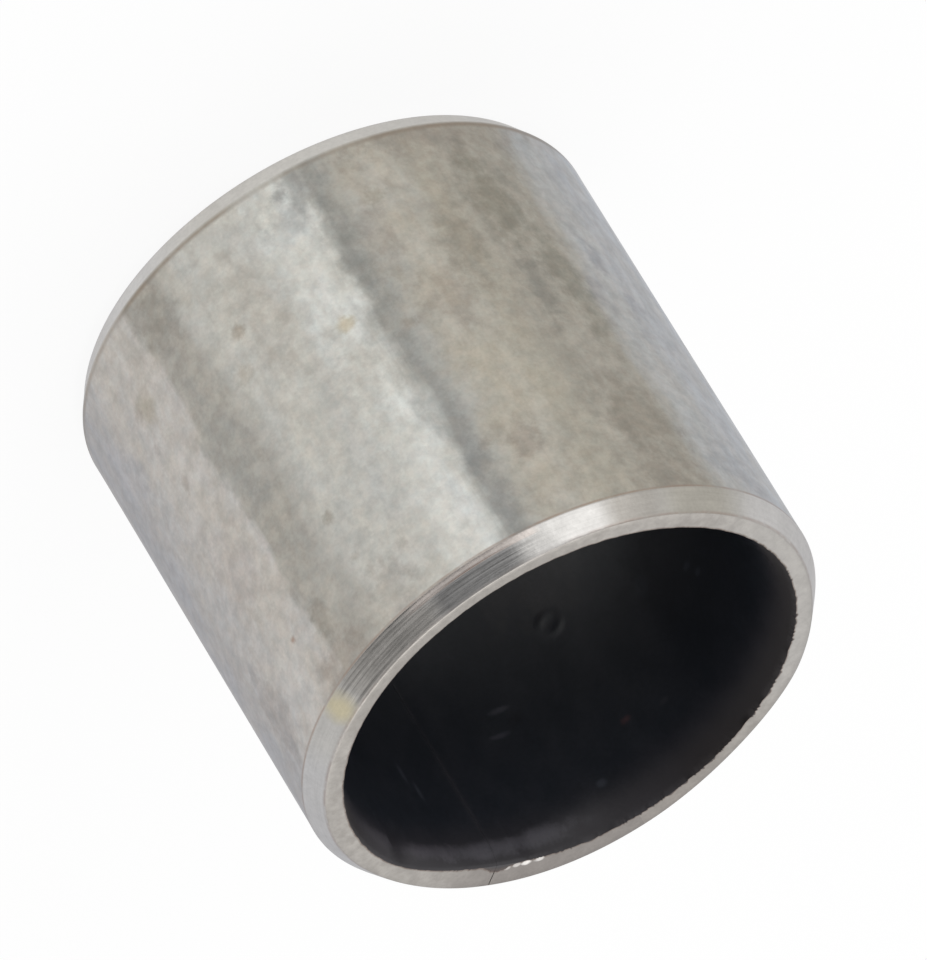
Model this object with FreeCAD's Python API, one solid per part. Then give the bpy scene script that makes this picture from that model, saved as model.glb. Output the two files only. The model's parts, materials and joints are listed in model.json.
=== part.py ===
import FreeCAD
import Part
import math
import os

# Wrapped shifter shaft bushing: a steel strip with a bonded sliding lining, rolled into a tube.
# It stands on its lower end, with its axis on Z. The butt seam of the strip is on the +Y side.

# Rolled tube, in millimetres
OUTER_DIAMETER = 12.05
LENGTH = 11.75
BACKING_THICKNESS = 0.70
LINING_THICKNESS = 0.30

# Lead-in chamfer outside at both ends, along the axis and into the wall, in millimetres
CHAMFER_LENGTH = 0.50
CHAMFER_DEPTH = 0.28

# Roll-over of the ridge between the outer wall and a chamfer, in millimetres
RIDGE_RADIUS = 0.12

# Deburring chamfer of the bore at both ends, at 45 degrees, in millimetres
BORE_CHAMFER = 0.28

# Butt seam: the gap between the strip's two ends, and the break of their sharp edges, in millimetres
SEAM_GAP = 0.02
SEAM_EDGE_BREAK = 0.03

# How far a cutting tool runs past the wall, in millimetres
TOOL_OVERRUN = 0.5

outer_radius = OUTER_DIAMETER / 2
bond_radius = outer_radius - BACKING_THICKNESS
bore_radius = bond_radius - LINING_THICKNESS
vertical = FreeCAD.Vector(0, 0, 1)


def in_section(radius, height):
    """A point of the wall's half section, which lies in the plane of the seam."""
    return FreeCAD.Vector(0, radius, height)


def rounded_corner(before, corner, after, radius):
    """The arc that rounds one corner of an outline, tangent to the lines on both sides of it."""
    back = (before - corner).normalize()
    ahead = (after - corner).normalize()
    half_angle = back.getAngle(ahead) / 2
    run = radius / math.tan(half_angle)
    inward = (back + ahead).normalize()
    middle = corner + inward * (radius / math.sin(half_angle) - radius)
    return Part.Arc(corner + back * run, middle, corner + ahead * run).toShape()


def wall_section():
    """Half section of the whole wall, with the chamfers of both ends and rolled-over ridges."""
    bore_foot = in_section(bore_radius, BORE_CHAMFER)
    foot_inner = in_section(bore_radius + BORE_CHAMFER, 0)
    foot_outer = in_section(outer_radius - CHAMFER_DEPTH, 0)
    lower_ridge = in_section(outer_radius, CHAMFER_LENGTH)
    upper_ridge = in_section(outer_radius, LENGTH - CHAMFER_LENGTH)
    head_outer = in_section(outer_radius - CHAMFER_DEPTH, LENGTH)
    head_inner = in_section(bore_radius + BORE_CHAMFER, LENGTH)
    bore_head = in_section(bore_radius, LENGTH - BORE_CHAMFER)
    lower_arc = rounded_corner(foot_outer, lower_ridge, upper_ridge, RIDGE_RADIUS)
    upper_arc = rounded_corner(lower_ridge, upper_ridge, head_outer, RIDGE_RADIUS)
    outline = [
        Part.makeLine(bore_foot, foot_inner),
        Part.makeLine(foot_inner, foot_outer),
        Part.makeLine(foot_outer, lower_arc.Vertexes[0].Point),
        lower_arc,
        Part.makeLine(lower_arc.Vertexes[1].Point, upper_arc.Vertexes[0].Point),
        upper_arc,
        Part.makeLine(upper_arc.Vertexes[1].Point, head_outer),
        Part.makeLine(head_outer, head_inner),
        Part.makeLine(head_inner, bore_head),
        Part.makeLine(bore_head, bore_foot),
    ]
    return Part.Face(Part.Wire(outline))


def seam_slot():
    """The straight gap between the strip's ends, widened where it meets the bore and the outside."""
    half_gap = SEAM_GAP / 2
    half_mouth = half_gap + SEAM_EDGE_BREAK + TOOL_OVERRUN
    right_side = [
        (half_mouth, bore_radius - TOOL_OVERRUN),
        (half_gap, bore_radius + SEAM_EDGE_BREAK),
        (half_gap, outer_radius - SEAM_EDGE_BREAK),
        (half_mouth, outer_radius + TOOL_OVERRUN),
    ]
    left_side = [(-x, y) for x, y in reversed(right_side)]
    points = [FreeCAD.Vector(x, y, -TOOL_OVERRUN) for x, y in right_side + left_side]
    outline = Part.Face(Part.makePolygon(points + points[:1]))
    return outline.extrude(vertical * (LENGTH + 2 * TOOL_OVERRUN))


def rolled_strip():
    """The lined strip as it is rolled: the section turned about the axis, open at the seam."""
    tube = wall_section().revolve(FreeCAD.Vector(), vertical, 360)
    return tube.cut(seam_slot())


def bond_core():
    """Everything inside the bond between lining and steel."""
    foot = FreeCAD.Vector(0, 0, -TOOL_OVERRUN)
    core = Part.makeCylinder(bond_radius, LENGTH + 2 * TOOL_OVERRUN, foot, vertical)
    return core.rotate(foot, vertical, 90)


def write_node(name, shape):
    """Saves one piece as a STEP file that carries its name."""
    if not shape.isValid() or len(shape.Solids) != 1:
        raise ValueError(name + " isn't one valid solid")
    shape.Solids[0].exportStep(os.path.join("parts", name + ".step"))


def main():
    strip = rolled_strip()
    core = bond_core()
    os.makedirs("parts", exist_ok=True)
    write_node("steel_backing", strip.cut(core))
    write_node("sliding_lining", strip.common(core))


main()
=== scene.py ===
import json
import math

import bpy
import numpy as np
from mathutils import Matrix, Quaternion, Vector


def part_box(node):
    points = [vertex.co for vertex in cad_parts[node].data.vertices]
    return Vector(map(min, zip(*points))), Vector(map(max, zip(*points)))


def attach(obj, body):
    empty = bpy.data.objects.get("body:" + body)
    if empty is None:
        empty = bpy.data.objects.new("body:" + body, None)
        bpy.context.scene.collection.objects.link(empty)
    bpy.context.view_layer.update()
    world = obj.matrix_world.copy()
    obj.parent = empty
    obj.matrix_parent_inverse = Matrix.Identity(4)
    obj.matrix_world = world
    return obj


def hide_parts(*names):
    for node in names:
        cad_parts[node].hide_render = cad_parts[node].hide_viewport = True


# A wrapped bushing: a tin-plated steel strip with a black sliding lining, rolled into a tube.
# It stands on the floor, with its axis on Z. Lengths are millimetres until a mesh is made.
# A bearing is an angle about the axis in degrees, counter-clockwise from the side that faces the camera.

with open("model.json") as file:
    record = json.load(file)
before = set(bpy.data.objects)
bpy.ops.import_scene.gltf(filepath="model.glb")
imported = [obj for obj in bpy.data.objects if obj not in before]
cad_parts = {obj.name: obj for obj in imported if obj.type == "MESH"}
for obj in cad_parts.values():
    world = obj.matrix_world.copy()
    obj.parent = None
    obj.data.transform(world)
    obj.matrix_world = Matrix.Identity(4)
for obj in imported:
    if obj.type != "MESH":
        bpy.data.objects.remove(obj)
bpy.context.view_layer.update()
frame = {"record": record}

MILLIMETRE = 0.001
rng = np.random.default_rng(10)

# Camera: where it stands round the part and how it is turned, in degrees and millimetres
CAMERA_AZIMUTH = 37.8
CAMERA_ELEVATION = 32.54
CAMERA_ROLL = 148.5
CAMERA_DISTANCE = 373.2
AIM_ACROSS = -0.524
AIM_UP = -0.219
LENS = 659.8
SENSOR = 36.0

# Size of the tube, from the frame
outer_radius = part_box("steel_backing")[1].x / MILLIMETRE
bond_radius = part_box("sliding_lining")[1].x / MILLIMETRE
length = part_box("steel_backing")[1].z / MILLIMETRE
mounts = {mount["name"]: mount for mount in frame["record"]["mounts"]}
bore_radius = mounts["bore"]["dims"]["r_mm"]

# Azimuth from which bearings count, on the side that faces the camera. The butt seam is on the +Y side
FRONT_AZIMUTH = 37.7
SEAM_BEARING = 180 - FRONT_AZIMUTH

# Lead-in chamfers outside, and the rounding of the edges beside them
CHAMFER_LENGTH = 0.50
CHAMFER_DEPTH = 0.28
RIDGE_RADIUS = 0.12
UPPER_EDGE_RADIUS = 0.05
LOWER_EDGE_RADIUS = 0.12

# Lines that the tool left on the chamfers: depth, waves over a chamfer in radians, phase
TURNED_LINES = ((0.0022, 38, 0.0), (0.0014, 61, 1.1))

# Cut at the lining's upper mouth: its size, depth beside the seam in sizes, curve, and lip at the joint
BORE_CHAMFER = 0.28
CUT_DEPTH = 1.25
CUT_CURVE = 1.5
LINING_LIP = 0.02

# Butt seam: its gap in the steel and in the lining, and the breaks of the strip's edges beside it
SEAM_GAP = 0.02
LINING_GAP = 0.005
STEEL_EDGE_BREAK = 0.03
LINING_EDGE_BREAK = 0.004

# A small dent halfway down the bore: a ring-shaped trough round a raised middle
DENT_BEARING = 185.6
DENT_HEIGHT = 6.67
DENT_RADIUS = 0.38
DENT_DEPTH = 0.006
DENT_REACH = 0.45

# What is uneven round the upper end: millimetres, and the middle bearing and half width where they apply
JOINT_DIPS = ((0.17, 139, 32), (-0.02, 275, 50), (-0.03, 15, 80))
JOINT_SMEARS = ((0.19, 143, 5.5),)
STRIP_END_SAGS = ((0.05, 139, 22),)
MOUTH_NOTCHES = ((0.12, 112, 4.5), (0.05, 151, 3))
MOUTH_SWELLS = ((0.12, 138, 34),)
RIM_CHANGES = ((0.06, 160, 30), (-0.09, 207, 26), (-0.11, 20, 60), (-0.05, 114, 24), (-0.05, 258, 30))

# The joint's teeth: depth, pitch in degrees, and the bearing and half width where they are large
TEETH_DEPTH = 0.085
TEETH_PITCH = 1.5
TEETH_BEARING = 205
TEETH_HALF_WIDTH = 110

# How far below the upper end the dips and the teeth of the joint fade out
DIP_FADE = 0.12
TEETH_FADE = 0.04

# The lining's mouth is cut deeper on the side away from the seam: by how much, and where it isn't
FAR_MOUTH_DEPTH = 0.8
SEAM_SIDE_BEARING = 128
SEAM_SIDE_HALF_WIDTH = 55

# Waves left by the rolling and the cutting, in the joint, the lining's mouth and the wall
JOINT_WAVES = 0.015
MOUTH_WAVES = 0.02
WALL_WAVES = 0.004

# Heights of the rows along the joint of steel and lining, closest together where it wanders
JOINT_HEIGHTS = [0, 0.6, 6] + [length - depth for depth in (0.95, 0.45, 0.25, 0.13, 0.05, 0)]

# Shares of the way down the cut at the lining's mouth, and across the upper face, where rows lie
CUT_SHARES = (0.06, 0.13, 0.22, 0.33, 0.46, 0.6, 0.8, 1.0)
FACE_SHARES = (0.12, 0.4, 0.7)

# Columns of a mesh round the tube, and the angle in degrees past which an edge is sharp
COLUMNS = 1500
SHARP_ANGLE = 35


def tone(red, green, blue):
    """A colour read as 8-bit sRGB, as the linear colour that a shader takes."""
    def linear(value):
        value /= 255
        return value / 12.92 if value <= 0.04045 else ((value + 0.055) / 1.055) ** 2.4
    return (linear(red), linear(green), linear(blue), 1.0)


# Shapes that vary around the tube


def away_from(bearing, centre):
    """Degrees between two bearings, with its sign."""
    return (bearing - centre + 180) % 360 - 180


def hump(bearing, centre, half_width):
    """One at a bearing, falling smoothly to zero half_width degrees away."""
    share = np.clip(np.abs(away_from(bearing, centre)) / half_width, 0, 1)
    return (1 - share**2) ** 2


def humps(bearing, rows):
    """Sum of humps, each an amount, a middle bearing and a half width."""
    return sum(amount * hump(bearing, centre, half_width) for amount, centre, half_width in rows)


def ripple(bearing, waves):
    """Uneven waves between about -1 and 1, with up to the given number of them in a turn."""
    total = np.zeros_like(bearing)
    for count in range(2, waves, max(1, waves // 24)):
        phase = rng.uniform(0, 2 * np.pi)
        total += rng.normal() * np.sin(np.radians(bearing) * count + phase)
    return total / np.abs(total).max()


def teeth(bearing, pitch):
    """A ragged saw-tooth line between 0 and 1, with teeth about pitch degrees apart."""
    count = int(360 / pitch) * 2
    place = np.sort(rng.uniform(0, 360, count))
    height = rng.uniform(0, 1, count) * np.tile([1.0, 0.1], count // 2)
    return np.interp(bearing % 360, place, height, period=360)


class Around:
    """The columns of the tube, from one side of the seam to the other, and what varies along them."""

    def __init__(self):
        self.turn = np.linspace(0, 1, COLUMNS + 1)
        self.bearing = (SEAM_BEARING + 360 * self.turn) % 360
        seam_side = 360 * np.minimum(self.turn, 1 - self.turn)
        self.seam_distance = np.radians(seam_side) * bond_radius
        b = self.bearing
        self.dip = humps(b, JOINT_DIPS)
        self.smear = humps(b, JOINT_SMEARS)
        ragged = 0.12 + 0.88 * hump(b, TEETH_BEARING, TEETH_HALF_WIDTH)
        self.bite = TEETH_DEPTH * ragged * (teeth(b, TEETH_PITCH) - 0.4) + JOINT_WAVES * ripple(b, 90)
        self.sag = humps(b, STRIP_END_SAGS)
        far_side = 1 - hump(b, SEAM_SIDE_BEARING, SEAM_SIDE_HALF_WIDTH)
        self.wide = humps(b, MOUTH_SWELLS) + FAR_MOUTH_DEPTH * far_side + MOUTH_WAVES * ripple(b, 60)
        self.notch = humps(b, MOUTH_NOTCHES)
        self.waves = WALL_WAVES * (1 + ripple(b, 30))
        self.rim = humps(b, RIM_CHANGES)

    def bond(self, height):
        """Radius of the joint between lining and steel. It wanders only near the upper end."""
        depth = length - height
        near_end = math.exp(-depth / DIP_FADE)
        skin = math.exp(-depth / TEETH_FADE)
        uneven = -self.dip * near_end + (self.smear + self.bite - LINING_LIP / 2) * skin
        return bond_radius + uneven

    def place(self, radius, height, gap):
        """Points of one row, spread round the tube with a gap left open at the seam."""
        radius = np.broadcast_to(radius, self.turn.shape)
        start = np.arcsin(gap / 2 / radius)
        angle = start + (2 * np.pi - 2 * start) * self.turn + np.pi / 2
        height = np.broadcast_to(height, self.turn.shape)
        return np.stack([radius * np.cos(angle), radius * np.sin(angle), height], 1)


def shell_mesh(name, around, rows, gap):
    """A closed mesh: the rows run round the wall's section, and a cap closes each side of the seam."""
    columns = COLUMNS + 1
    points = np.concatenate([around.place(radius, height, gap) for radius, height in rows])
    faces = []
    for row in range(len(rows)):
        here = row * columns
        there = (row + 1) % len(rows) * columns
        for column in range(COLUMNS):
            faces.append((here + column, there + column, there + column + 1, here + column + 1))
    first_cap = [row * columns for row in reversed(range(len(rows)))]
    last_cap = [row * columns + COLUMNS for row in range(len(rows))]
    mesh = bpy.data.meshes.new(name)
    mesh.from_pydata((points * MILLIMETRE).tolist(), [], faces + [first_cap, last_cap])
    fringe = mesh.attributes.new("fringe", "FLOAT", "POINT")
    joint_row = len(JOINT_HEIGHTS) - 1
    for column in range(columns):
        fringe.data[joint_row * columns + column].value = 1
    mesh.validate()
    mesh.update()
    mesh.shade_smooth()
    mesh.set_sharp_from_angle(angle=math.radians(SHARP_ANGLE))
    piece = bpy.data.objects.new(name, mesh)
    bpy.context.scene.collection.objects.link(piece)
    return piece


# The steel strip


def turned_lines(share):
    """Depth of the fine lines that the tool left, at a share of the way down the chamfer."""
    return sum(depth * math.sin(share * waves + phase) for depth, waves, phase in TURNED_LINES)


def outer_corner(edge_radius, edge_steps, chamfer_steps, ridge_steps):
    """Radius and depth of the points from an end face's rim, over the chamfer, to the wall."""
    slope = math.atan2(CHAMFER_DEPTH, CHAMFER_LENGTH)
    face_edge = outer_radius - CHAMFER_DEPTH
    edge_run = edge_radius * math.tan((math.pi / 2 - slope) / 2)
    ridge_run = RIDGE_RADIUS * math.tan(slope / 2)
    points = []
    for angle in np.linspace(math.pi / 2, slope, edge_steps):
        radius = face_edge - edge_run + edge_radius * math.cos(angle)
        points.append((radius, edge_radius * (1 - math.sin(angle))))
    first_share = edge_run * math.cos(slope) / CHAMFER_LENGTH
    last_share = 1 - ridge_run * math.cos(slope) / CHAMFER_LENGTH
    for share in np.linspace(first_share, last_share, chamfer_steps + 2)[1:-1]:
        radius = face_edge + CHAMFER_DEPTH * share - turned_lines(share)
        points.append((radius, CHAMFER_LENGTH * share))
    for angle in np.linspace(slope, 0, ridge_steps):
        depth = CHAMFER_LENGTH + ridge_run - RIDGE_RADIUS * math.sin(angle)
        points.append((outer_radius - RIDGE_RADIUS * (1 - math.cos(angle)), depth))
    return points


def steel_rows(around):
    """Rows of the steel strip's section: bond, upper face and chamfer, wall, lower chamfer and face."""
    rows = [(around.bond(height), height) for height in JOINT_HEIGHTS]
    upper = outer_corner(UPPER_EDGE_RADIUS, edge_steps=4, chamfer_steps=16, ridge_steps=5)
    lower = outer_corner(LOWER_EDGE_RADIUS, edge_steps=4, chamfer_steps=3, ridge_steps=4)
    inner_edge = around.bond(length)
    for share in FACE_SHARES:
        rows.append((inner_edge + (upper[0][0] + around.rim - inner_edge) * share, length))
    for radius, depth in upper:
        rows.append((radius + around.rim * max(0, 1 - depth / CHAMFER_LENGTH), length - depth))
    top = length - upper[-1][1]
    bottom = lower[-1][1]
    for height in np.linspace(top - 0.3, bottom + 0.3, 8):
        rows.append((outer_radius - around.waves, height))
    rows += [(radius, depth) for radius, depth in reversed(lower)]
    rows.append(((bond_radius + lower[0][0]) / 2, 0))
    limit = outer_radius - np.clip(STEEL_EDGE_BREAK - around.seam_distance, 0, None)
    return [(np.minimum(radius, limit), height) for radius, height in rows]


# The lining


def ring(distance, radius, width):
    """One on a ring of that radius, fading away on both sides of it."""
    return np.exp(-(((distance - radius) / width) ** 2))


def dent(around, height):
    """How far the small dent pushes the bore's surface back. Its trough has a raised rim outside."""
    along = np.radians(away_from(around.bearing, DENT_BEARING)) * bore_radius
    up = height - DENT_HEIGHT
    distance = np.hypot(along, up) / DENT_RADIUS
    trough = ring(distance, 0.6, 0.27)
    rim = ring(distance, 1.2, 0.22)
    return DENT_DEPTH * (trough - 0.3 * rim) * (1 + 0.5 * np.sin(np.arctan2(along, up) * 2))


def bore_surface(around, height):
    """Radius of the bore at a height: round, with the strip's ends a little drawn in at the seam."""
    return bore_radius - around.sag + dent(around, height)


def lining_rows(around):
    """Rows of the lining's section: bond, upper lip and cut, bore, lower chamfer."""
    rows = [(around.bond(height), height) for height in JOINT_HEIGHTS]
    foot = bore_surface(around, length - BORE_CHAMFER)
    cut_top = bore_radius + BORE_CHAMFER - around.dip
    drop = CUT_DEPTH * BORE_CHAMFER + around.wide
    rows.append((np.minimum(cut_top, around.bond(length) - LINING_LIP / 4), length))
    for share in CUT_SHARES:
        radius = foot + (cut_top - LINING_LIP - foot) * (1 - share) ** CUT_CURVE + around.notch * share
        rows.append((radius, length - drop * share))
    above_dent = np.linspace(10.3, 7.3, 7)
    at_dent = np.linspace(DENT_HEIGHT + DENT_REACH, DENT_HEIGHT - DENT_REACH, 17)
    below_dent = np.linspace(6.0, 0.6, 6)
    for height in [*above_dent, *at_dent, *below_dent, BORE_CHAMFER]:
        rows.append((bore_surface(around, height), height))
    rows.append((bore_radius + BORE_CHAMFER, 0))
    limit = bore_radius - around.sag + np.clip(LINING_EDGE_BREAK - around.seam_distance, 0, None)
    return [(np.maximum(radius, limit), height) for radius, height in rows]


# Materials


class Graph:
    """A node tree, and short ways to add nodes to it."""

    def __init__(self, tree):
        self.nodes = tree.nodes
        self.links = tree.links
        self.nodes.clear()

    def add(self, kind, inputs, **settings):
        """A node with its settings, its input values and the sockets linked to its inputs."""
        node = self.nodes.new(kind)
        for key, value in settings.items():
            setattr(node, key, value)
        for key, value in inputs.items():
            if isinstance(value, bpy.types.NodeSocket):
                self.links.new(value, node.inputs[key])
            else:
                node.inputs[key].default_value = value
        return node

    def calc(self, operation, *values):
        """The result of one arithmetic operation."""
        return self.add("ShaderNodeMath", dict(enumerate(values)), operation=operation).outputs[0]

    def product(self, *values):
        """All the values multiplied."""
        result = values[0]
        for value in values[1:]:
            result = self.calc("MULTIPLY", result, value)
        return result

    def total(self, *values):
        """All the values added."""
        result = values[0]
        for value in values[1:]:
            result = self.calc("ADD", result, value)
        return result

    def squares(self, first, second):
        """The squares of two values, added."""
        return self.total(self.calc("POWER", first, 2.0), self.calc("POWER", second, 2.0))

    def swing(self, noise, amount):
        """A noise as a number that swings about zero."""
        return self.calc("MULTIPLY_ADD", noise, 2.0 * amount, -amount)

    def ramp(self, value, low, high, to_low=0.0, to_high=1.0):
        """A smooth step as value goes from low to high, which may be the smaller of the two."""
        names = {"Value": value, "From Min": low, "From Max": high, "To Min": to_low, "To Max": to_high}
        return self.add("ShaderNodeMapRange", names, interpolation_type="SMOOTHSTEP").outputs[0]

    def stretch(self, place, across, along):
        """Coordinates scaled by across in the plane of the ends and by along on the axis."""
        names = {0: place, 1: (across, across, along)}
        return self.add("ShaderNodeVectorMath", names, operation="MULTIPLY").outputs[0]

    def noise(self, place, scale=1.0, detail=3.0, roughness=0.55):
        """A cloudy pattern between 0 and 1."""
        names = {"Vector": place, "Scale": scale, "Detail": detail, "Roughness": roughness}
        return self.add("ShaderNodeTexNoise", names).outputs[0]

    def blend(self, factor, first, second):
        """From the first colour to the second as factor goes from 0 to 1."""
        names = {0: factor, 6: first, 7: second}
        return self.add("ShaderNodeMix", names, data_type="RGBA").outputs[2]

    def dim(self, colour, factor):
        """A colour times a number."""
        names = {0: colour, 3: factor}
        return self.add("ShaderNodeVectorMath", names, operation="SCALE").outputs[0]

    def tint(self, colour, factor, first, second):
        """A colour times another, which goes from the first to the second."""
        names = {0: colour, 1: self.blend(factor, first, second)}
        return self.add("ShaderNodeVectorMath", names, operation="MULTIPLY").outputs[0]

    def finish(self, inputs, height, bump_distance, bump_strength):
        """Ends a material in one shader, with bump from a height."""
        names = {"Height": height, "Distance": bump_distance, "Strength": bump_strength}
        bump = self.add("ShaderNodeBump", names).outputs[0]
        shader = self.add("ShaderNodeBsdfPrincipled", {**inputs, "Normal": bump})
        self.add("ShaderNodeOutputMaterial", {"Surface": shader.outputs[0]})


def new_material(name):
    """An empty material that uses nodes, and its graph."""
    material = bpy.data.materials.new(name)
    material.use_nodes = True
    return material, Graph(material.node_tree)


class Tube:
    """Where a point of the tube lies: its place in millimetres, bearing, height and radius."""

    def __init__(self, graph):
        self.graph = graph
        place = graph.add("ShaderNodeTexCoord", {}).outputs["Object"]
        millimetres = graph.stretch(place, 1 / MILLIMETRE, 1 / MILLIMETRE)
        turn = (0.0, 0.0, math.radians(90 - FRONT_AZIMUTH))
        self.place = graph.add("ShaderNodeMapping", {"Vector": millimetres, "Rotation": turn}).outputs[0]
        parts = graph.add("ShaderNodeSeparateXYZ", {"Vector": self.place}).outputs
        self.bearing = graph.calc("DEGREES", graph.calc("ARCTAN2", parts[1], parts[0]))
        self.height = parts[2]
        self.radius = graph.calc("SQRT", graph.squares(parts[0], parts[1]))

    def stripe(self, bearing, start, end, start_soft, end_soft):
        """One between two bearings, with a soft edge at each."""
        graph = self.graph
        rising = graph.ramp(bearing, start - start_soft, start + start_soft)
        falling = graph.ramp(bearing, end + end_soft, end - end_soft)
        return graph.product(rising, falling)

    def patch(self, centre, middle, half_angle, half_length, ragged):
        """One inside a patch with an uneven outline, by its middle and half sizes."""
        graph = self.graph
        across = graph.calc("DIVIDE", graph.calc("SUBTRACT", self.bearing, centre), half_angle)
        along = graph.calc("DIVIDE", graph.calc("SUBTRACT", self.height, middle), half_length)
        distance = graph.calc("SQRT", graph.squares(across, along))
        return graph.ramp(graph.total(distance, ragged), 1.5, 0.3)

    def paint(self, colour, patches, ragged):
        """A colour with patches over it, each a middle, half sizes, a strength and a colour."""
        for centre, middle, half_angle, half_length, strength, shade in patches:
            mask = self.patch(centre, middle, half_angle, half_length, ragged)
            colour = self.graph.blend(self.graph.product(mask, strength), colour, shade)
        return colour

    def line(self, value, middle, half_width):
        """One on a thin line where value is middle, fading to zero half_width away."""
        away = self.graph.calc("ABSOLUTE", self.graph.calc("SUBTRACT", value, middle))
        return self.graph.ramp(away, half_width, 0.0)

    def fringe(self):
        """One at the joint of lining and steel, which the meshes mark."""
        mark = self.graph.add("ShaderNodeAttribute", {}, attribute_name="fringe").outputs["Fac"]
        return self.graph.ramp(mark, 0.0, 1.0)


# Stripes along the wall: the bearing where each starts, softness, colour. Most are tones that the rolling
# left; the bright stripe from -6.2 to 6 is a painted highlight, and the darker one before it, from -12, is
# painted shade.
PLAIN_WALL = tone(178, 176, 170)
WALL_STRIPES = (
    (-168, 4, tone(158, 155, 147)),
    (-152, 3, tone(178, 176, 170)),
    (-139, 3, tone(188, 188, 184)),
    (-124, 4, tone(178, 176, 170)),
    (-112, 8, tone(191, 194, 197)),
    (-77, 6, tone(181, 182, 183)),
    (-66, 4, tone(177, 177, 175)),
    (-56, 4, tone(160, 155, 144)),
    (-34, 4, tone(168, 163, 151)),
    (-26, 4, tone(179, 174, 163)),
    (-16, 3, tone(172, 170, 163)),
    # Painted shade from -12, then a painted highlight from -6.2 to 6
    (-12, 3, tone(153, 152, 147)),
    (-6.2, 3.4, tone(210, 210, 204)),
    (6.0, 2.5, tone(191, 189, 182)),
    (25, 4, tone(168, 164, 156)),
    (38.3, 1.8, tone(191, 187, 182)),
    (56, 4, tone(186, 183, 180)),
    (67, 6, tone(176, 175, 176)),
    (98, 8, tone(178, 176, 170)),
    (112, 6, tone(164, 161, 153)),
    (128, 4, tone(178, 176, 170)),
    (139, 2, tone(190, 189, 184)),
    (158, 5, tone(178, 176, 170)),
)

# Larger stains on the wall, and patches of painted highlight and painted shade near bearing 0: middle
# bearing and height, half sizes, strength, colour
WALL_STAINS_AND_PAINTED_LIGHT = (
    (-43, 2.7, 5.0, 1.3, 0.7, tone(138, 134, 122)),
    (-50, 5.2, 3.5, 1.6, 0.7, tone(140, 137, 126)),
    (-31.5, 3.6, 3.8, 1.3, 0.6, tone(150, 144, 132)),
    (-42, 5.5, 3.6, 1.0, 0.7, tone(140, 137, 129)),
    (-46, 9.2, 8.0, 0.8, 0.6, tone(144, 138, 127)),
    (-44, 10.8, 7.0, 0.7, 0.6, tone(148, 141, 130)),
    (-26, 7.6, 9.0, 1.1, 0.5, tone(184, 178, 164)),
    (-24, 1.9, 8.0, 1.0, 0.5, tone(184, 180, 171)),
    (-20, 9.1, 3.6, 0.5, 0.6, tone(154, 145, 134)),
    (-23, 5.0, 4.5, 0.8, 0.5, tone(162, 154, 143)),
    (-17, 3.2, 3.0, 1.0, 0.4, tone(160, 152, 142)),
    (-38, 0.8, 18.0, 0.5, 0.6, tone(154, 147, 137)),
    # From here to the row at bearing 2 and height 5.7, the patches reshape the painted shade and painted
    # highlight stripes
    (-9.5, 3.4, 2.6, 2.2, 0.5, tone(145, 146, 142)),
    (-9.5, 9.8, 2.6, 1.3, 0.5, tone(149, 149, 146)),
    (-7.5, 7.4, 2.4, 0.8, 0.5, tone(176, 176, 171)),
    (-7, 0.9, 3.0, 0.6, 0.6, tone(152, 153, 151)),
    (-2, 1.7, 4.5, 0.5, 0.5, tone(164, 165, 163)),
    (2.5, 0.8, 2.5, 0.4, 0.4, tone(176, 176, 173)),
    (0.5, 10.2, 5.0, 1.7, 0.6, tone(216, 216, 212)),
    (0, 3.1, 3.6, 1.2, 0.5, tone(212, 212, 207)),
    (2, 5.7, 4.5, 0.9, 0.5, tone(189, 187, 181)),
    (12, 7.7, 8.0, 1.5, 0.4, tone(191, 191, 187)),
    (13, 3.4, 5.0, 1.6, 0.4, tone(178, 173, 165)),
    (20, 10.6, 6.0, 0.6, 0.5, tone(166, 160, 152)),
    (33, 1.3, 5.0, 0.9, 0.6, tone(150, 146, 138)),
    (34, 5.4, 4.5, 1.6, 0.4, tone(158, 158, 154)),
    (31, 9.4, 5.0, 0.9, 0.5, tone(180, 177, 170)),
    (36, 9.8, 2.6, 0.4, 0.6, tone(147, 140, 129)),
    (38, 10.8, 7.0, 0.45, 0.6, tone(158, 149, 140)),
    (46.5, 2.6, 3.2, 0.35, 0.4, tone(172, 164, 146)),
    (50, 7.0, 7.0, 1.0, 0.4, tone(178, 170, 165)),
    (50, 10.0, 6.0, 1.0, 0.5, tone(196, 193, 189)),
    (66, 2.6, 7.0, 1.2, 0.5, tone(178, 178, 181)),
    (64, 9.8, 5.0, 1.1, 0.5, tone(157, 152, 150)),
    (-62, 4.4, 2.6, 0.5, 0.6, tone(154, 155, 159)),
    (-67, 5.6, 2.2, 0.4, 0.5, tone(164, 166, 171)),
    (-57, 5.5, 2.4, 0.7, 0.5, tone(156, 155, 156)),
    (-64, 6.6, 2.2, 0.5, 0.5, tone(159, 161, 165)),
    (-66, 10.3, 6.0, 0.6, 0.4, tone(160, 162, 166)),
)

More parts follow.
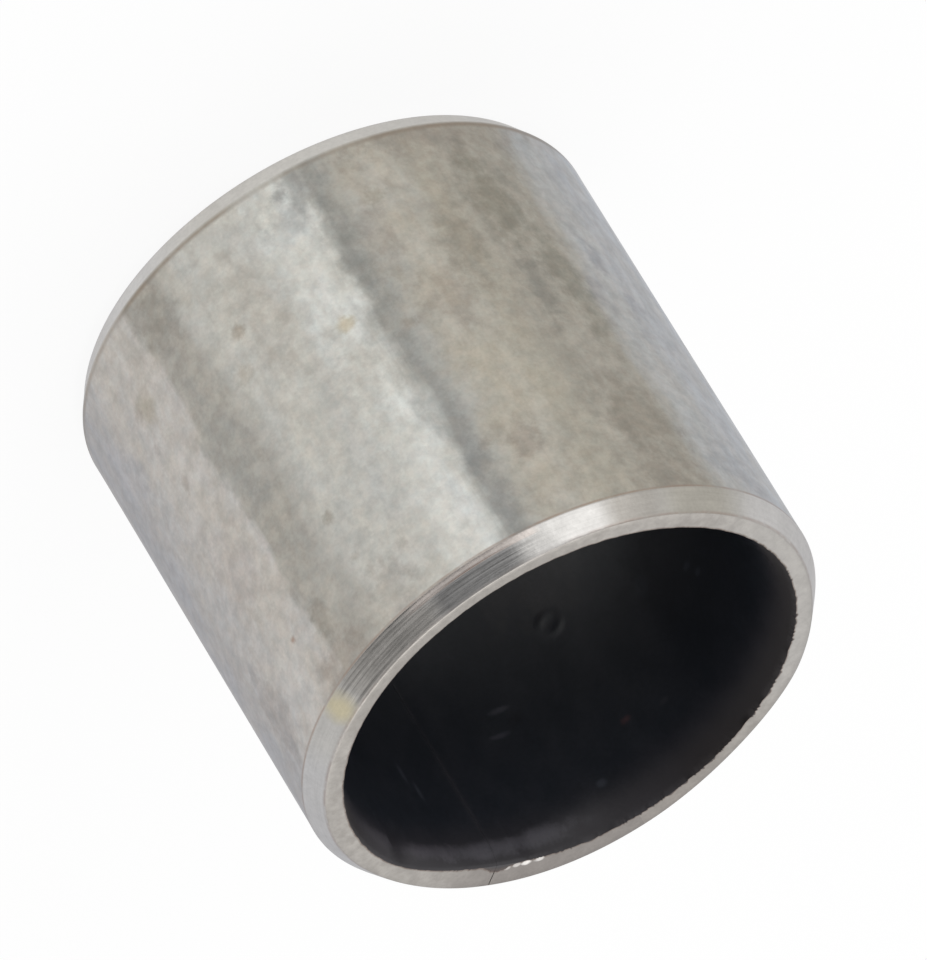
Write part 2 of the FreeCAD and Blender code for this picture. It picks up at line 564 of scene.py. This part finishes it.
# Small spots on the wall: middle bearing and height, half sizes, strength, colour
WALL_SPOTS = (
    (-1.2, 4.62, 1.9, 0.2, 0.7, tone(196, 184, 158)),
    (18.4, 3.2, 1.5, 0.17, 0.5, tone(160, 146, 131)),
    (21.9, 4.1, 2.4, 0.22, 0.5, tone(161, 152, 137)),
    (22.5, 8.2, 1.2, 0.14, 0.5, tone(152, 146, 134)),
    (22.2, 9.4, 1.1, 0.12, 0.5, tone(152, 144, 133)),
    (45.2, 9.5, 0.8, 0.08, 0.7, tone(150, 126, 112)),
    (50.0, 2.5, 1.6, 0.2, 0.4, tone(160, 151, 144)),
    (49.0, 4.6, 1.3, 0.2, 0.4, tone(160, 151, 145)),
    (50.5, 3.4, 1.2, 0.14, 0.4, tone(158, 150, 144)),
    (-19.5, 2.0, 2.6, 0.22, 0.4, tone(160, 152, 135)),
    (-3.2, 0.95, 1.8, 0.14, 0.5, tone(140, 140, 138)),
    (-12.0, 5.3, 2.0, 0.18, 0.5, tone(150, 141, 130)),
    (-12.3, 8.9, 1.4, 0.14, 0.4, tone(150, 143, 134)),
    (12.0, 9.9, 1.3, 0.12, 0.4, tone(166, 158, 149)),
)

# Tones round the upper chamfer: first and last bearing, softness, colour. The two darker bands from -7 to
# 41 are a painted reflection of something dark, on top of the dark card's real reflection, and the band
# from -40 to -27.5 is painted shade at the edge of the key lamp's highlight.
CHAMFER_BANDS = (
    # Painted reflection of something dark
    (-7, 14, 3, tone(137, 136, 135)),
    (14, 41, 3, tone(160, 157, 153)),
    (-110, -64, 6, tone(193, 191, 189)),
    (-60, -40, 6, tone(166, 162, 153)),
    # Painted shade at the edge of the key lamp's highlight
    (-40, -27.5, 3, tone(159, 155, 149)),
    (60, 110, 5, tone(186, 185, 185)),
)

# The warm spot on the upper chamfer: its bearing, place as a share of the chamfer, and half sizes
WARM_SPOT_BEARING = 45.2
WARM_SPOT_SHARE = 0.55
WARM_SPOT_HALF_ANGLE = 3.4
WARM_SPOT_HALF_LENGTH = 0.3

# A bearing past the end of the turn, for bands that run on over it
PAST_END = 400

# Duller parts of the upper face, round the seam: first and last bearing, colour
DULL_FACE_BANDS = (
    (133, PAST_END, tone(133, 128, 124)),
    (-PAST_END, -152, tone(142, 137, 132)),
)

# Pale chips on the upper face beside the seam: bearing, radius, half width in degrees, strength
CHIPS = (
    (145.6, 5.28, 0.8, 0.4),
    (148.0, 5.25, 0.8, 0.5),
    (150.7, 5.25, 1.1, 0.9),
    (153.9, 5.26, 1.2, 0.65),
)

# How quickly a chip ends along the radius, per millimetre
CHIP_FADE = 17.0

# Where the brown line over the lower chamfer is strongest: first and last bearing
BROWN_RIDGES = ((6, 38), (-78, -24))

# How much the fine mottling changes the tone, and how much of that is missing on the turned ends
MOTTLE_DEPTH = 0.12
TURNED_CALM = 0.65


def chamfer_finish(graph, tube, colour, mottle):
    """The upper chamfer: turned lines, bands of painted reflection and painted shade, a pale lip, a warm
    spot, and brown lines along its edges.
    """
    share = graph.calc("DIVIDE", graph.calc("SUBTRACT", length, tube.height), CHAMFER_LENGTH)
    on_chamfer = graph.ramp(share, 1.04, 0.98)
    colour = graph.blend(on_chamfer, colour, tone(184, 182, 179))
    for start, end, softness, shade in CHAMFER_BANDS:
        band = graph.product(tube.stripe(tube.bearing, start, end, softness, softness), on_chamfer)
        colour = graph.blend(band, colour, shade)
    spot_height = length - WARM_SPOT_SHARE * CHAMFER_LENGTH
    half_sizes = (WARM_SPOT_HALF_ANGLE, WARM_SPOT_HALF_LENGTH)
    spot = tube.patch(WARM_SPOT_BEARING, spot_height, *half_sizes, graph.swing(mottle, 0.3))
    colour = graph.blend(graph.product(spot, on_chamfer, 0.8), colour, tone(196, 186, 154))

    swirl_parts = {0: graph.product(tube.bearing, 0.03), 1: graph.product(share, 9.0)}
    swirl = graph.add("ShaderNodeCombineXYZ", swirl_parts).outputs[0]
    turned = graph.noise(swirl, scale=1.0, detail=4.0, roughness=0.75)
    # The turned lines are real; their strong dark and light contrast between bearings -9 and 42 is a
    # painted reflection
    bearing_span = graph.product(tube.stripe(tube.bearing, -9, 42, 5, 1.5), on_chamfer)
    lines = graph.calc("MULTIPLY_ADD", bearing_span, 0.9, 0.12)
    off_middle = graph.calc("SUBTRACT", turned, 0.5)
    contrast = graph.calc("MULTIPLY_ADD", off_middle, graph.product(lines, 2.6), 1.0)
    colour = graph.dim(colour, graph.blend(on_chamfer, (1, 1, 1, 1), contrast))

    lip_side = tube.stripe(tube.bearing, -12, 18, 1.5, 3)
    lip = graph.product(lip_side, graph.ramp(share, 0.74, 0.8), on_chamfer)
    colour = graph.blend(graph.product(lip, 0.7), colour, tone(212, 202, 195))
    broken = graph.ramp(graph.noise(swirl, scale=2.4, detail=2.0), 0.35, 0.6)
    lip_line = graph.product(lip, tube.line(share, 0.8, 0.06), broken)
    colour = graph.blend(graph.product(lip_line, 0.7), colour, tone(136, 110, 98))
    ridge = graph.product(tube.line(share, 1.07, 0.1), graph.ramp(mottle, 0.3, 0.6, 0.35, 1.0))
    colour = graph.blend(graph.product(ridge, 0.6), colour, tone(146, 124, 112))
    rim = graph.product(tube.line(share, 0.03, 0.12), graph.ramp(mottle, 0.35, 0.6, 0.3, 1.0))
    clean_side = tube.stripe(tube.bearing, -20, 36, 8, 6)
    rim_side = graph.calc("SUBTRACT", 1.0, graph.product(clean_side, 0.7))
    return graph.blend(graph.product(rim, rim_side, 0.55), colour, tone(142, 126, 118))


def end_face_finish(graph, tube, colour, mottle, grain):
    """The flat rim of the upper end: pale, duller round the seam, with a brown fringe at the lining."""
    on_face = graph.ramp(tube.height, length - 0.012, length - 0.003)
    pale = graph.blend(graph.ramp(mottle, 0.3, 0.7), tone(150, 146, 141), tone(162, 158, 153))
    for start, end, shade in DULL_FACE_BANDS:
        dull = tube.stripe(tube.bearing, start, end, 10, 10)
        pale = graph.blend(graph.product(dull, 0.9), pale, shade)
    bright = tube.stripe(tube.bearing, -135, -62, 12, 12)
    pale = graph.blend(graph.product(bright, 0.5), pale, tone(172, 170, 167))
    colour = graph.blend(on_face, colour, pale)
    fringe = graph.product(tube.fringe(), graph.ramp(grain, 0.3, 0.6, 0.4, 0.9), on_face)
    colour = graph.blend(fringe, colour, tone(104, 90, 82))
    near = tube.stripe(tube.bearing, -12, 50, 8, 8)
    colour = graph.blend(graph.product(near, on_face, 0.5), colour, tone(142, 138, 133))
    for bearing, radius, half_width, strength in CHIPS:
        across = graph.calc("DIVIDE", graph.calc("SUBTRACT", tube.bearing, bearing), half_width)
        outward = graph.product(graph.calc("SUBTRACT", tube.radius, radius), CHIP_FADE)
        distance = graph.total(graph.squares(across, outward), graph.swing(mottle, 2.4))
        chip = graph.ramp(distance, 2.0, 0.2)
        colour = graph.blend(graph.product(chip, on_face, strength), colour, tone(232, 229, 225))
    return colour


def lower_end_finish(graph, tube, colour, mottle):
    """The lower chamfer: paler than the wall, most of all from bearing 22 to 80, a painted reflection of
    bright surroundings, under a soft brown line on the ridge.
    """
    on_chamfer = graph.ramp(tube.height, 0.57, 0.42)
    # Painted reflection: the chamfer painted pale, as though it mirrored bright surroundings
    colour = graph.blend(on_chamfer, colour, tone(209, 206, 200))
    bright = graph.product(tube.stripe(tube.bearing, 22, 80, 10, 10), on_chamfer)
    colour = graph.blend(bright, colour, tone(217, 215, 212))
    strength = graph.ramp(mottle, 0.3, 0.7, 0.2, 0.5)
    for start, end in BROWN_RIDGES:
        strong = tube.stripe(tube.bearing, start, end, 6, 6)
        strength = graph.calc("MULTIPLY_ADD", strong, 0.25, strength)
    ridge = graph.product(tube.line(tube.height, 0.565, 0.11), strength)
    return graph.blend(ridge, colour, tone(136, 122, 108))


def plated_steel():
    """Matt tin plate: striped and stained along the wall, and brighter on its chamfers. Some stripes and
    chamfer tones are painted highlight, painted shade and painted reflection.
    """
    material, graph = new_material("tinned_steel")
    tube = Tube(graph)
    broad = graph.noise(graph.stretch(tube.place, 0.5, 0.2), detail=1.0)
    streaks = graph.noise(graph.stretch(tube.place, 3.5, 0.5), detail=3.0, roughness=0.6)
    blots = graph.noise(graph.stretch(tube.place, 1.5, 1.1), detail=2.0, roughness=0.5)
    hue = graph.noise(graph.stretch(tube.place, 1.3, 0.8), detail=3.0, roughness=0.6)
    mottle = graph.noise(tube.place, scale=2.8, detail=4.0, roughness=0.62)
    grain = graph.noise(tube.place, scale=12.0, detail=2.0, roughness=0.6)
    specks = graph.noise(tube.place, scale=5.5, detail=2.0, roughness=0.5)
    wander = graph.total(graph.swing(broad, 3.5), graph.swing(blots, 3.0), graph.swing(streaks, 2.2))
    bearing = graph.calc("ADD", tube.bearing, wander)

    colour = PLAIN_WALL
    steady = graph.ramp(hue, 0.35, 0.6, 0.8, 1.0)
    for start, softness, shade in WALL_STRIPES:
        mask = graph.product(graph.ramp(bearing, start - softness, start + softness), steady)
        colour = graph.blend(mask, colour, shade)
    ragged = graph.total(graph.swing(blots, 0.9), graph.swing(mottle, 0.7))
    colour = tube.paint(colour, WALL_STAINS_AND_PAINTED_LIGHT, ragged)
    ragged = graph.total(graph.swing(mottle, 0.8), graph.swing(grain, 0.25))
    colour = tube.paint(colour, WALL_SPOTS, ragged)
    colour = graph.dim(colour, graph.ramp(streaks, 0.25, 0.75, 0.965, 1.035))
    colour = graph.dim(colour, graph.ramp(blots, 0.25, 0.75, 0.95, 1.05))
    warm = graph.ramp(hue, 0.3, 0.7)
    colour = graph.tint(colour, warm, (1.016, 1.0, 0.978, 1), (0.988, 1.0, 1.02, 1))
    reddish = graph.ramp(specks, 0.3, 0.7)
    colour = graph.tint(colour, reddish, (1.01, 0.992, 0.984, 1), (0.992, 1.006, 1.008, 1))
    colour = lower_end_finish(graph, tube, colour, mottle)
    colour = chamfer_finish(graph, tube, colour, mottle)
    colour = end_face_finish(graph, tube, colour, mottle, grain)
    lower_end = graph.ramp(tube.height, 0.6, 0.5)
    upper_end = graph.ramp(tube.height, length - 0.58, length - 0.5)
    turned_end = graph.calc("MAXIMUM", lower_end, upper_end)
    calm = graph.calc("MULTIPLY_ADD", turned_end, -TURNED_CALM, 1.0)
    mottling = graph.product(graph.ramp(mottle, 0.25, 0.75, -MOTTLE_DEPTH, MOTTLE_DEPTH), calm)
    colour = graph.dim(colour, graph.calc("ADD", mottling, 1.0))
    colour = graph.dim(colour, graph.ramp(grain, 0.25, 0.75, 0.96, 1.04))

    roughness = graph.ramp(blots, 0.2, 0.8, 0.34, 0.46)
    relief = graph.total(grain, graph.product(streaks, 2.0), mottle)
    inputs = {"Base Color": colour, "Metallic": 1.0, "Roughness": roughness}
    inputs["Specular Tint"] = (0.72, 0.72, 0.74, 1)
    graph.finish(inputs, relief, 0.004 * MILLIMETRE, 0.5)
    return material


# Faint marks and sheens in the bore: middle bearing and height, half sizes, strength, colour
BORE_MARKS = (
    # The two rows at height 5.5 are a painted sheen, where the deep bore mirrors the floor
    (188.0, 5.5, 14.0, 1.0, 0.7, tone(60, 58, 60)),
    (-172.0, 5.5, 14.0, 1.0, 0.7, tone(60, 58, 60)),
    (101.0, 11.38, 9.0, 0.2, 0.6, tone(74, 71, 76)),
    (122.0, 11.38, 10.0, 0.19, 0.9, tone(80, 77, 83)),
    (140.0, 11.37, 11.0, 0.2, 0.9, tone(82, 80, 86)),
    (158.0, 11.33, 9.0, 0.22, 0.9, tone(82, 80, 86)),
    (-134.1, 8.18, 1.6, 0.1, 0.6, tone(66, 70, 78)),
    (-131.4, 8.55, 1.3, 0.08, 0.6, tone(66, 70, 78)),
    (-149.2, 7.51, 2.6, 0.22, 0.3, tone(60, 65, 74)),
    (-170.6, 9.76, 1.3, 0.09, 0.6, tone(84, 58, 60)),
    (166.6, 8.32, 2.2, 0.2, 0.5, tone(18, 20, 25)),
    (164.4, 7.99, 2.4, 0.07, 0.7, tone(72, 72, 79)),
    (160.4, 8.6, 2.6, 0.07, 0.7, tone(70, 70, 78)),
    (129.6, 9.1, 0.5, 0.3, 0.5, tone(66, 68, 76)),
    (131.4, 9.6, 0.5, 0.25, 0.5, tone(66, 68, 76)),
    (-140.0, 7.2, 24.0, 1.1, 0.35, tone(44, 44, 48)),
    (176.0, 10.75, 1.2, 0.08, 0.4, tone(78, 82, 90)),
    (-160.0, 10.0, 1.6, 0.08, 0.4, tone(66, 64, 70)),
)


def dry_lining():
    """Black filled plastic: smooth, a little bluish, and greyer on its cut mouth near the seam."""
    material, graph = new_material("black_lining")
    tube = Tube(graph)
    smears = graph.noise(graph.stretch(tube.place, 1.6, 0.9), detail=3.0, roughness=0.6)
    grain = graph.noise(tube.place, scale=11.0, detail=2.0, roughness=0.6)
    colour = graph.blend(graph.ramp(smears, 0.3, 0.7), tone(31, 34, 40), tone(35, 37, 43))
    colour = graph.dim(colour, graph.ramp(tube.height, 8.0, 11.7, 1.0, 1.25))
    colour = graph.blend(graph.ramp(tube.height, 10.3, 11.6, 0.0, 0.5), colour, tone(50, 43, 45))
    ragged = graph.total(graph.swing(smears, 1.2), graph.swing(grain, 0.5))
    colour = tube.paint(colour, BORE_MARKS, ragged)
    seam_line = tube.line(tube.bearing, SEAM_BEARING, 1.3)
    beside_seam = graph.product(seam_line, graph.ramp(smears, 0.3, 0.6, 0.1, 0.45))
    colour = graph.blend(beside_seam, colour, tone(58, 56, 60))
    edge = graph.calc("ADD", tube.radius, graph.swing(grain, 0.06))
    cut = graph.ramp(edge, bore_radius + 0.02, bore_radius + 0.24)
    # The cut mouth is painted greyer near the seam than elsewhere
    near_seam = tube.stripe(tube.bearing, 92, PAST_END, 10, 10)
    past_seam = tube.stripe(tube.bearing, -PAST_END, -168, 10, 10)
    bearing_span = graph.calc("MAXIMUM", near_seam, past_seam)
    colour = graph.blend(cut, colour, graph.blend(bearing_span, tone(34, 29, 30), tone(43, 40, 44)))
    colour = graph.blend(graph.product(tube.fringe(), 0.7), colour, tone(82, 70, 64))
    colour = graph.dim(colour, graph.ramp(grain, 0.25, 0.75, 0.88, 1.12))
    roughness = graph.ramp(smears, 0.35, 0.7, 0.28, 0.33)
    worn_mouth = graph.ramp(tube.height, 10.2, 11.4, 0.0, 0.15)
    rough_cut = graph.total(roughness, worn_mouth, graph.product(cut, 0.15))
    inputs = {"Base Color": colour, "Roughness": rough_cut}
    relief = graph.total(smears, graph.product(grain, 0.06))
    graph.finish(inputs, relief, 0.007 * MILLIMETRE, 1.0)
    return material


# Floor, light and camera

# Sizes of the set are metres. A level of 1 shows as white
FLOOR_SIZE = 1.6
FLOOR_OWN_LIGHT = 0.9
WORLD_LEVEL = 0.78
FLAG_DISTANCE = 0.62

# A spot on the floor inside the bore that gives off less light: its place, fade, and level at its core
DIM_SPOT_BEARING = -35
DIM_SPOT_OFF_AXIS = 4.0
DIM_SPOT_CORE = 2.0
DIM_SPOT_EDGE = 6.5
DIM_SPOT_LEVEL = 0.25

# Where the floor's own light is whole again, hidden under the wall
UNDER_WALL_START = 5.1
UNDER_WALL_END = 5.5


def direction(azimuth, elevation):
    """From the part towards a place round it. Azimuth 0 is the -Y side, and 90 the +X side."""
    a = math.radians(azimuth)
    e = math.radians(elevation)
    return Vector((math.sin(a) * math.cos(e), -math.cos(a) * math.cos(e), math.sin(e)))


def seen_directly(graph):
    """One for the camera's own rays and for those that metal and glass send on."""
    path = graph.add("ShaderNodeLightPath", {}).outputs
    seen = graph.calc("MAXIMUM", path["Is Camera Ray"], path["Is Glossy Ray"])
    return graph.calc("MAXIMUM", seen, path["Is Transmission Ray"])


def stage_piece(name, points, faces, colour):
    """A plain sheet of the set, which isn't part of the object, and its node graph with a matt shader."""
    material, graph = new_material(name)
    matt = graph.add("ShaderNodeBsdfDiffuse", {"Color": colour}).outputs[0]
    mesh = bpy.data.meshes.new(name)
    mesh.from_pydata(points, [], faces)
    mesh.materials.append(material)
    sheet = bpy.data.objects.new(name, mesh)
    bpy.context.scene.collection.objects.link(sheet)
    return graph, matt


def floor():
    """A wide white floor, which keeps the part's soft shadow."""
    half = FLOOR_SIZE / 2
    corners = [(-half, -half, 0), (half, -half, 0), (half, half, 0), (-half, half, 0)]
    graph, matt = stage_piece("floor", corners, [(0, 1, 2, 3)], (0.95, 0.95, 0.95, 1))
    plain = graph.add("ShaderNodeEmission", {"Color": (1, 1, 1, 1), "Strength": 1.0}).outputs[0]
    place = graph.add("ShaderNodeTexCoord", {}).outputs["Object"]
    spot = direction(FRONT_AZIMUTH + DIM_SPOT_BEARING, 0) * DIM_SPOT_OFF_AXIS * MILLIMETRE
    measure = {"operation": "DISTANCE"}
    off_axis = graph.add("ShaderNodeVectorMath", {0: place, 1: (0.0, 0.0, 0.0)}, **measure).outputs["Value"]
    off_spot = graph.add("ShaderNodeVectorMath", {0: place, 1: spot}, **measure).outputs["Value"]
    spot_edges = (DIM_SPOT_CORE * MILLIMETRE, DIM_SPOT_EDGE * MILLIMETRE)
    inside = graph.ramp(off_spot, *spot_edges, DIM_SPOT_LEVEL, 1.0)
    outside = graph.ramp(off_axis, UNDER_WALL_START * MILLIMETRE, UNDER_WALL_END * MILLIMETRE)
    glow = graph.calc("MAXIMUM", inside, outside)
    share = graph.product(seen_directly(graph), glow, FLOOR_OWN_LIGHT)
    mixed = graph.add("ShaderNodeMixShader", {0: share, 1: matt, 2: plain}).outputs[0]
    graph.add("ShaderNodeOutputMaterial", {"Surface": mixed})


def sky():
    """Even white surroundings, which light the part a little less than they show."""
    world = bpy.data.worlds.new("studio")
    world.use_nodes = True
    bpy.context.scene.world = world
    graph = Graph(world.node_tree)
    light = graph.add("ShaderNodeBackground", {"Color": (1, 1, 1, 1), "Strength": WORLD_LEVEL}).outputs[0]
    shown = graph.add("ShaderNodeBackground", {"Color": (1, 1, 1, 1), "Strength": 1.0}).outputs[0]
    mixed = graph.add("ShaderNodeMixShader", {0: seen_directly(graph), 1: light, 2: shown}).outputs[0]
    graph.add("ShaderNodeOutputWorld", {"Surface": mixed})


def lamp(name, bearing, elevation, distance, width, height, brightness):
    """A soft box that faces the part. A brightness of 1 is as bright as the white floor."""
    light = bpy.data.lights.new(name, "AREA")
    light.shape = "RECTANGLE"
    light.size = width
    light.size_y = height
    light.energy = brightness * math.pi * width * height
    back = direction(FRONT_AZIMUTH + bearing, elevation)
    box = bpy.data.objects.new(name, light)
    box.location = back * distance
    box.rotation_mode = "QUATERNION"
    box.rotation_quaternion = (-back).to_track_quat("-Z", "Y")
    bpy.context.scene.collection.objects.link(box)


def dark_flag(first_bearing, last_bearing, low, high):
    """A black card round part of the set, which gives the turned edges something dark to mirror."""
    steps = 24
    points = []
    for elevation in (low, high):
        for step in range(steps + 1):
            bearing = first_bearing + (last_bearing - first_bearing) * step / steps
            points.append(direction(FRONT_AZIMUTH + bearing, elevation) * FLAG_DISTANCE)
    faces = [(k, k + 1, steps + k + 2, steps + k + 1) for k in range(steps)]
    graph, matt = stage_piece("flag", points, faces, (0.22, 0.22, 0.225, 1))
    graph.add("ShaderNodeOutputMaterial", {"Surface": matt})


def camera():
    """The photograph's view: from above the upper end, and turned most of the way over."""
    back = direction(CAMERA_AZIMUTH, CAMERA_ELEVATION)
    across = Vector((0, 0, 1)).cross(back).normalized()
    up = back.cross(across)
    aim = Vector((0, 0, length / 2)) + across * AIM_ACROSS + up * AIM_UP
    upright = Matrix((across, up, back)).transposed().to_quaternion()
    data = bpy.data.cameras.new("camera")
    data.sensor_width = SENSOR
    data.lens = LENS
    view = bpy.data.objects.new("camera", data)
    view.rotation_mode = "QUATERNION"
    view.rotation_quaternion = Quaternion(back, math.radians(CAMERA_ROLL)) @ upright
    view.location = (aim + back * CAMERA_DISTANCE) * MILLIMETRE
    bpy.context.scene.collection.objects.link(view)
    bpy.context.scene.camera = view


around = Around()
steel = shell_mesh("tinned_shell", around, steel_rows(around), SEAM_GAP)
steel.data.materials.append(plated_steel())
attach(steel, "root")
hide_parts("steel_backing")

lining = shell_mesh("bore_lining", around, lining_rows(around), LINING_GAP)
lining.data.materials.append(dry_lining())
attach(lining, "root")
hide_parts("sliding_lining")

floor()
sky()
lamp("key_lamp", bearing=-39, elevation=27, distance=0.30, width=0.17, height=0.13, brightness=1.9)
lamp("top_lamp", bearing=160, elevation=66, distance=0.32, width=0.22, height=0.22, brightness=1.8)
dark_flag(first_bearing=-14, last_bearing=68, low=6, high=40)
camera()

bpy.context.scene.view_settings.view_transform = "Standard"
